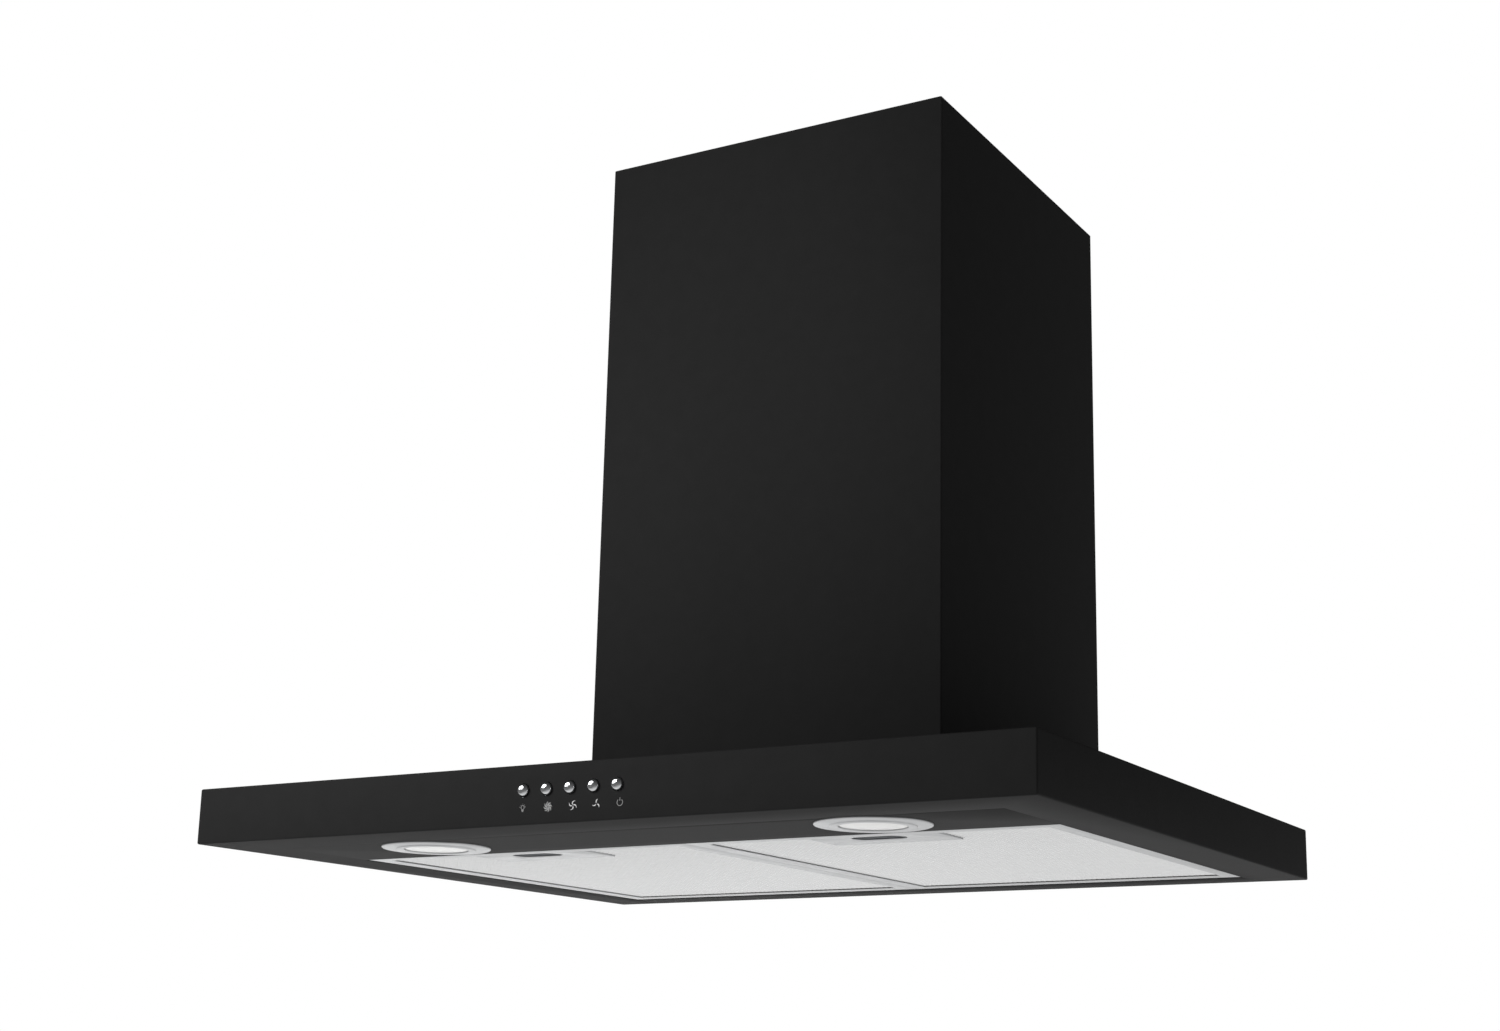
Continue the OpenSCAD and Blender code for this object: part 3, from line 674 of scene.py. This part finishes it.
def makeCanopy():
    look = canopyLook
    low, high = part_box("canopy_shell")
    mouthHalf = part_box("lamp_panel")[1].x + look["play"]
    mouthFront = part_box("lamp_panel")[0].y - look["play"]
    mouthRear = high.y - look["sheet"]
    shell = addBlock("canopyShell", low, high)
    # the mouth: the underside is inset, and the four sides of the inset are pulled into place
    pick(shell, "FACE", lambda centre, face: face.normal.z < -0.9)
    bpy.ops.mesh.inset(thickness=look["startInset"])
    for axis, side, goal in ((0, 1, mouthHalf), (0, -1, -mouthHalf),
                             (1, -1, mouthFront), (1, 1, mouthRear)):
        edge = (high if side > 0 else low)[axis] - side * look["startInset"]
        pick(shell, "VERT", lambda centre, vert: abs(centre[axis] - edge) < tiny
             and abs(centre.z - low.z) < tiny)
        shift = Vector()
        shift[axis] = goal - edge
        bpy.ops.transform.translate(value=shift)
    mouthMiddle = (mouthFront + mouthRear) / 2
    deleteFaces(shell, lambda centre, face: face.normal.z < -0.9 and abs(centre.x) < tiny
                and abs(centre.y - mouthMiddle) < tiny)
    pick(shell, "EDGE", lambda centre, edge: edge.is_boundary and centre.y < mouthRear - tiny)
    extrudeBy((0, 0, look["lip"]))
    leaveEdit()
    thicken(shell, look["sheet"])
    mergeClose(shell)
    # every outer edge is a fold, but the rear lower one is a plain seam
    foldEdges(shell, look["fold"], lambda centre, edge: onBoxEdge(centre, low, high)
              and not (abs(centre.y - high.y) < mm and abs(centre.z - low.z) < tiny))
    roundEdges(shell, look["rim"], clamp=True)
    # the cutters stand a few millimetres past the sheet on both sides
    cutters = []
    for name in buttonNames:
        middle = nodeCentre("button_" + name)
        cutters.append(addRod("cutter", (middle.x, low.y - 2 * mm, middle.z),
                              look["buttonHole"], 5 * mm, "Y", 64))
    front, rear = look["airway"]
    cutters.append(addBlock("cutter", (-look["airwayHalf"], front, high.z - 3 * mm),
                            (look["airwayHalf"], rear, high.z + mm)))
    x, z, radius = look["wallHole"]
    for side in sides.values():
        cutters.append(addRod("cutter", (side * x, high.y - 3 * mm, z), radius, 4 * mm, "Y"))
    cutAway(shell, cutters)
    return settle(shell, "hood", "black_paint", ["canopy_shell"])


panelLook = {"sheet": 1 * mm, "lip": 5 * mm, "edge": 0.15 * mm, "hole": 28 * mm}


# tray-shaped strip that carries the lamps
def makeLampPanel():
    look = panelLook
    low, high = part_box("lamp_panel")
    panel = addBlock("lampPanel", low, high)
    deleteFaces(panel, lambda centre, face: face.normal.z > 0.9)
    pick(panel, "FACE", lambda centre, face: True)
    bpy.ops.mesh.bisect(plane_co=(0, 0, low.z + look["lip"]), plane_no=(0, 0, 1))
    deleteFaces(panel, lambda centre, face: face.normal.y > 0.9
                and centre.z > low.z + look["lip"])
    leaveEdit()
    thicken(panel, look["sheet"])
    roundEdges(panel, look["edge"], clamp=True)
    cutters = []
    for side in sides:
        middle = nodeCentre("lamp_ring_" + side)
        cutters.append(addRod("cutter", (middle.x, middle.y, low.z - mm), look["hole"],
                              4 * mm, "Z", 96))
    cutAway(panel, cutters)
    return settle(panel, "hood", "black_paint", ["lamp_panel"])


chimneyLook = {"sheet": 1 * mm, "fold": 1.3 * mm, "return": 14 * mm, "rim": 0.3 * mm,
               "tabHalf": 40 * mm, "tabReach": 16 * mm, "screwX": 25 * mm, "screwIn": 9 * mm,
               "screwHole": 1.8 * mm}


# three-sided cover with narrow returns at the wall; the lower one has a screw tab at its foot
def makeChimney(name, node, body, hasTab):
    look = chimneyLook
    low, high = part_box(node)
    cover = addBlock(name, low, high)
    deleteFaces(cover, lambda centre, face: abs(face.normal.z) > 0.9 or face.normal.y > 0.9)
    for side in sides.values():
        pick(cover, "EDGE", lambda centre, edge: abs(centre.y - high.y) < tiny
             and abs(centre.x - side * high.x) < tiny)
        extrudeBy((-side * look["return"], 0, 0))
    if hasTab:
        for x in (-look["tabHalf"], look["tabHalf"]):
            pick(cover, "FACE", lambda centre, face: face.normal.y < -0.9)
            bpy.ops.mesh.bisect(plane_co=(x, 0, 0), plane_no=(1, 0, 0))
        pick(cover, "EDGE", lambda centre, edge: edge.is_boundary
             and abs(centre.z - low.z) < tiny and abs(centre.x) < tiny)
        extrudeBy((0, look["tabReach"], 0))
    leaveEdit()
    thicken(cover, look["sheet"])
    foldEdges(cover, look["fold"], lambda centre, edge: onBoxEdge(centre, low, high)
              and edge.calc_length() > 0.5 * (high.z - low.z))
    roundEdges(cover, look["rim"], clamp=True)
    if hasTab:
        cutAway(cover, [addRod("cutter", (side * look["screwX"], low.y + look["screwIn"],
                                          low.z - 2 * mm), look["screwHole"], 5 * mm, "Z")
                        for side in sides.values()])
    return settle(cover, body, "black_paint", [node])


makeCanopy()
makeLampPanel()
makeChimney("lowerChimney", "lower_chimney", "hood", True)
makeChimney("upperChimney", "upper_chimney", "upper_chimney", False)
print("canopy and chimney made")


lampLook = {
    # radius and height of the ring's outline, in millimetres, from the rim inwards and back out
    "ring": [(35.5, -0.02), (35.5, -0.5), (35.35, -0.8), (35.0, -1.05), (34.5, -1.2), (26.3, -1.2),
             (26.1, -1.3), (25.9, -1.7), (25.75, -1.9), (25.5, -2.0), (21.3, -2.0), (21.0, -1.9),
             (20.85, -1.7), (20.8, -1.4), (20.8, 0.2), (22.2, 0.2), (22.2, 2.2), (25.5, 2.2),
             (25.5, 12), (27.5, 12), (27.5, -0.02)],
    # the lens bulges a little towards the cooker
    "lens": [(0.6, -1.9), (5, -1.88), (10, -1.78), (14, -1.66), (17, -1.52), (19, -1.38),
             (20, -1.25), (20.4, -1.1), (20.5, -0.9), (20.5, 0.3), (21.9, 0.36), (21.9, 1.9),
             (21.7, 2.0), (0.6, 2.0)],
}


def makeLamp(sideName):
    middle = nodeCentre("lamp_ring_" + sideName)
    ring = turnProfile("lampRing_" + sideName, inMetres(lampLook["ring"]), closed=True)
    placeAt(ring, (middle.x, middle.y, 0))
    settle(ring, "hood", "satin_aluminium", ["lamp_ring_" + sideName], smooth=32)
    lens = turnProfile("lampLens_" + sideName, inMetres(lampLook["lens"]))
    closeRims(lens)
    placeAt(lens, (middle.x, middle.y, 0))
    settle(lens, "hood", "frosted_lens", ["lamp_lens_" + sideName])


for sideName in sides:
    makeLamp(sideName)
print("lamps made")


buttonLook = {
    # radius and depth behind the cap's front, in millimetres
    "cap": [(0.5, 0.0), (1.0, 0.03), (1.5, 0.08), (2.0, 0.17), (2.35, 0.27), (2.6, 0.4),
            (2.75, 0.5), (2.9, 0.64), (3.15, 0.9), (3.4, 1.22), (3.62, 1.6), (3.8, 2.0),
            (3.92, 2.4), (4.0, 2.85), (4.0, 5.4), (6, 5.4), (6, 6.4), (3, 6.4),
            (3, 16.8), (2.8, 17.0)],
}


def makeButton(name):
    low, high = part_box("button_" + name)
    cap = turnProfile("button_cap_" + name, inMetres(buttonLook["cap"]), 64)
    closeRims(cap)
    middle = (low + high) / 2
    placeAt(cap, (middle.x, low.y, middle.z), (-math.pi / 2, 0, 0))
    return settle(cap, "button_" + name, "chrome_cap", ["button_" + name], smooth=30)


# the shapes are in millimetres and degrees, round the middle of each sign
signLook = {
    "below": 10.9 * mm, "proud": 0.06 * mm, "hub": 0.4,
    "across": {"light": -0.2, "speed_high": 1.4, "speed_mid": 2.5, "speed_low": 2.5, "power": 2.1},
    # blades, reach, sweep, width at the hub, width outside, angle of the first blade
    "fans": {"speed_high": (8, 3.1, -40, 0.1, 0.5, 85), "speed_mid": (4, 3.1, -48, 0.26, 0.8, 108),
             "speed_low": (3, 2.9, -30, 0.26, 0.8, 105)},
    # radius, stroke, and where the arc starts and ends
    "globe": (1.15, 0.4, -55, 235), "globeLift": 0.6,
    # x, z, width and height of each bar
    "foot": ((0, -1.05, 1.5, 1.0), (0, -1.85, 1.1, 0.5)),
    "rayAngles": (5, 45, 90, 135, 175), "rayReach": 2.0, "ray": (0.55, 0.25),
    "powerArc": (1.95, 0.42, 128, 412), "powerBar": (0, 1.85, 0.42, 2.0),
}


# a flat sign from closed outlines, drawn in millimetres and set on the front panel
def makeSign(name, outlines, x, z, ink):
    pieces = []
    for outline in outlines:
        data = bpy.data.curves.new(name, "CURVE")
        data.dimensions = "2D"
        data.fill_mode = "BOTH"
        data.extrude = signLook["proud"] / 2
        spline = data.splines.new("POLY")
        spline.points.add(len(outline) - 1)
        for point, (across, up) in zip(spline.points, outline):
            point.co = (across * mm, up * mm, 0, 1)
        spline.use_cyclic_u = True
        stroke = bpy.data.objects.new(name, data)
        bpy.context.scene.collection.objects.link(stroke)
        makeActive(stroke)
        bpy.ops.object.convert(target="MESH")
        pieces.append(bpy.context.object)
    sign = joinPieces(pieces)
    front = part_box("canopy_shell")[0].y
    placeAt(sign, (x, front - signLook["proud"] / 2, z), (math.pi / 2, 0, 0))
    mergeClose(sign, 0.001 * mm)
    sign.data.materials.clear()
    sign.data.materials.append(ink)
    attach(sign, "hood")
    return sign


def polar(radius, degrees):
    return radius * math.cos(math.radians(degrees)), radius * math.sin(math.radians(degrees))


# one curved blade that widens outwards, turned to its place
def bladeOutline(turn, reach, sweep, inner, outer):
    steps = [i / 6 for i in range(7)]
    edge = []
    for share, side in [(s, -1) for s in steps] + [(s, 1) for s in reversed(steps)]:
        radius = signLook["hub"] + (reach - signLook["hub"]) * share
        width = inner + (outer - inner) * math.sin(math.pi * share * 0.86)
        edge.append(polar(radius, turn + sweep * share ** 2
                          + side * math.degrees(width / 2 / radius)))
    return edge


def fanOutlines(count, reach, sweep, inner, outer, start):
    return [bladeOutline(start + i * 360 / count, reach, sweep, inner, outer)
            for i in range(count)]


def arcOutline(radius, width, start, end, steps=28):
    angles = [start + (end - start) * i / steps for i in range(steps + 1)]
    return ([polar(radius + width / 2, a) for a in angles]
            + [polar(radius - width / 2, a) for a in reversed(angles)])


def barOutline(x, z, width, height, turn=0):
    c, s = math.cos(math.radians(turn)), math.sin(math.radians(turn))
    corners = ((-1, -1), (1, -1), (1, 1), (-1, 1))
    return [(x + c * a * width / 2 - s * b * height / 2, z + s * a * width / 2 + c * b * height / 2)
            for a, b in corners]


def bulbOutlines():
    lift = signLook["globeLift"]
    globe = [(x, z + lift) for x, z in arcOutline(*signLook["globe"])]
    foot = [barOutline(*bar) for bar in signLook["foot"]]
    rays = []
    for angle in signLook["rayAngles"]:
        x, z = polar(signLook["rayReach"], angle)
        rays.append(barOutline(x, z + lift, *signLook["ray"], angle))
    return [globe, *foot, *rays]


def powerOutlines():
    return [arcOutline(*signLook["powerArc"]), barOutline(*signLook["powerBar"])]


def makeSigns():
    outlines = {"light": (bulbOutlines(), greyInk)}
    for name, fan in signLook["fans"].items():
        outlines[name] = (fanOutlines(*fan), whiteInk)
    outlines["power"] = (powerOutlines(), greyInk)
    for name, (shape, ink) in outlines.items():
        middle = nodeCentre("button_" + name)
        makeSign("sign_" + name, shape, middle.x + signLook["across"][name] * mm,
                 middle.z - signLook["below"], ink)


for buttonName in buttonNames:
    makeButton(buttonName)
makeSigns()
print("buttons and signs made")


filterLook = {"border": 12 * mm, "skin": 0.8 * mm, "edge": 0.35 * mm,
              "tabX": 70 * mm, "tabHalf": 10 * mm, "tabLift": 3.9 * mm, "tabOut": 7 * mm,
              "tab": 1 * mm, "notchHalf": 14.3 * mm, "notch": (2.1 * mm, 4.8 * mm)}
meshLook = {"across": 4.0 * mm, "along": 4.8 * mm, "strand": 0.5 * mm, "tilt": 0.7 * mm,
            "sheet": 0.25 * mm, "lift": 1.0 * mm, "columns": 61, "rows": 66}


# folded channel frame of a cassette, with its two rear tabs
def makeFilterFrame(sideName):
    look = filterLook
    low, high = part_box("filter_frame_" + sideName)
    rear = high.y
    high.y -= look["tabOut"]
    middle = (low + high) / 2
    shell = addBlock("filterFrame_" + sideName, low, high)
    for up in (-1, 1):
        pick(shell, "FACE", lambda centre, face: face.normal.z * up > 0.9
             and abs(centre.x - middle.x) < tiny and abs(centre.y - middle.y) < tiny)
        bpy.ops.mesh.inset(thickness=look["border"])
        bpy.ops.mesh.delete(type="ONLY_FACE")
    leaveEdit()
    thicken(shell, look["skin"])
    notchLow, notchHigh = (low.z + height for height in look["notch"])
    cutAway(shell, [addBlock("cutter", (middle.x - look["notchHalf"], low.y - mm, notchLow),
                             (middle.x + look["notchHalf"], low.y + 2 * mm, notchHigh))])
    roundEdges(shell, look["edge"])
    pieces = [shell]
    for side in sides.values():
        x = middle.x + side * look["tabX"]
        tab = addBlock("tab", (x - look["tabHalf"], high.y - look["skin"] / 2,
                               low.z + look["tabLift"]),
                       (x + look["tabHalf"], rear, low.z + look["tabLift"] + look["tab"]))
        roundEdges(tab, look["edge"])
        pieces.append(tab)
    joinPieces(pieces)
    return settle(shell, "filter_" + sideName, "satin_aluminium", ["filter_frame_" + sideName])


# one cell: a diamond ring of four strands that lean up to the opening in the middle
def makeCell():
    look = meshLook
    clearSelection()
    bpy.ops.mesh.primitive_circle_add(vertices=4, radius=0.5, fill_type="NGON")
    cell = bpy.context.object
    cell.name = "meshCell"
    cell.scale = (look["across"], look["along"], 1)
    bakePlace(cell)
    pick(cell, "FACE", lambda centre, face: True)
    bpy.ops.mesh.inset(thickness=look["strand"])
    bpy.ops.transform.translate(value=(0, 0, look["tilt"]))
    bpy.ops.mesh.delete(type="ONLY_FACE")
    leaveEdit()
    return cell


def makeFilterMesh(sideName):
    look = meshLook
    frameLow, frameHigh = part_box("filter_frame_" + sideName)
    plateLow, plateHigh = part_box("latch_plate_" + sideName)
    frameHigh.y -= filterLook["tabOut"]
    middle = (frameLow + frameHigh) / 2
    cell = makeCell()
    twin = copyPiece(cell, "twin")
    placeAt(twin, (look["across"] / 2, look["along"] / 2, 0))
    sheet = joinPieces([cell, twin])
    sheet.name = "filterMesh_" + sideName
    mergeClose(sheet, 0.01 * mm)
    useModifier(sheet, "ARRAY", count=look["columns"], use_relative_offset=False,
                use_constant_offset=True, constant_offset_displace=(look["across"], 0, 0),
                use_merge_vertices=True, merge_threshold=0.01 * mm)
    useModifier(sheet, "ARRAY", count=look["rows"], use_relative_offset=False,
                use_constant_offset=True, constant_offset_displace=(0, look["along"], 0),
                use_merge_vertices=True, merge_threshold=0.01 * mm)
    placeAt(sheet, (middle.x - look["across"] * (look["columns"] - 0.5) / 2,
                    middle.y - look["along"] * (look["rows"] - 0.5) / 2,
                    frameLow.z + look["lift"]))
    # the mesh stops at the latch tray
    pick(sheet, "FACE", lambda centre, face: centre.y < plateHigh.y + mm
         and plateLow.x - mm < centre.x < plateHigh.x + mm)
    bpy.ops.mesh.delete(type="FACE")
    leaveEdit()
    mergeClose(sheet, 0.01 * mm)
    useModifier(sheet, "SOLIDIFY", thickness=look["sheet"], offset=1)
    return settle(sheet, "filter_" + sideName, "filter_mesh", ["filter_mesh_" + sideName], 20)


latchLook = {"skin": 0.8 * mm, "edge": 0.3 * mm, "slotHalf": 18.5 * mm, "slotRadius": 8.5 * mm,
             "slotIn": 9.9 * mm}


# smooth tray over the latch slider, with the round-ended finger slot
def makeLatchPlate(sideName):
    look = latchLook
    low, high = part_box("latch_plate_" + sideName)
    middle = (low + high) / 2
    tray = addBlock("latchPlate_" + sideName, low, high)
    deleteFaces(tray, lambda centre, face: face.normal.y < -0.9)
    leaveEdit()
    thicken(tray, look["skin"])
    slotY = low.y + look["slotIn"]
    cutter = addBlock("cutter", (middle.x - look["slotHalf"], slotY - look["slotRadius"],
                                 low.z - mm),
                      (middle.x + look["slotHalf"], slotY + look["slotRadius"], low.z + 2 * mm))
    pick(cutter, "EDGE", lambda centre, edge: abs(edge.verts[0].co.z - edge.verts[1].co.z) > mm)
    bpy.ops.mesh.bevel(offset=look["slotRadius"] - tiny, segments=12, affect="EDGES")
    leaveEdit()
    cutAway(tray, [cutter])
    roundEdges(tray, look["edge"])
    return settle(tray, "filter_" + sideName, "satin_aluminium", ["latch_plate_" + sideName])


for sideName in sides:
    makeFilterFrame(sideName)
    makeFilterMesh(sideName)
    makeLatchPlate(sideName)
print("filters made")


innerLook = {
    "rear_rail": 0.3, "latch_slider_left": 0.4, "latch_slider_right": 0.4,
    "lamp_body_left": 0.3, "lamp_body_right": 0.3, "lamp_clips_left": 0.15,
    "lamp_clips_right": 0.15, "switch_body": 0.5, "switch_bracket": 0.25, "blower_box": 0.35,
    "motor": 0.8, "motor_bracket": 0.4, "impeller_shaft": 0.3, "outlet_spigot": 0.4,
    "flap_left": 0.3, "flap_right": 0.3, "flap_pin": 0.3, "control_box": 0.6,
    "control_lid": 0.6, "capacitor": 1.0, "terminal_block": 0.5, "cable_gland": 0.5,
    "chimney_bracket": 0.3, "wall_bracket": 0.4,
}
nodeSlot = {part["node"]: part["material_slot"] for part in frame["record"]["subparts"]}
nodeBody = {node: body for body, nodes in frame["record"]["behaviour"]["bodies"].items()
            for node in nodes}


def makeInnerParts():
    for node, width in innerLook.items():
        piece = copyNode(node, node + "_finished")
        roundEdges(piece, width * mm)
        settle(piece, nodeBody[node], nodeSlot[node], [node])


makeInnerParts()
print("inner parts made")
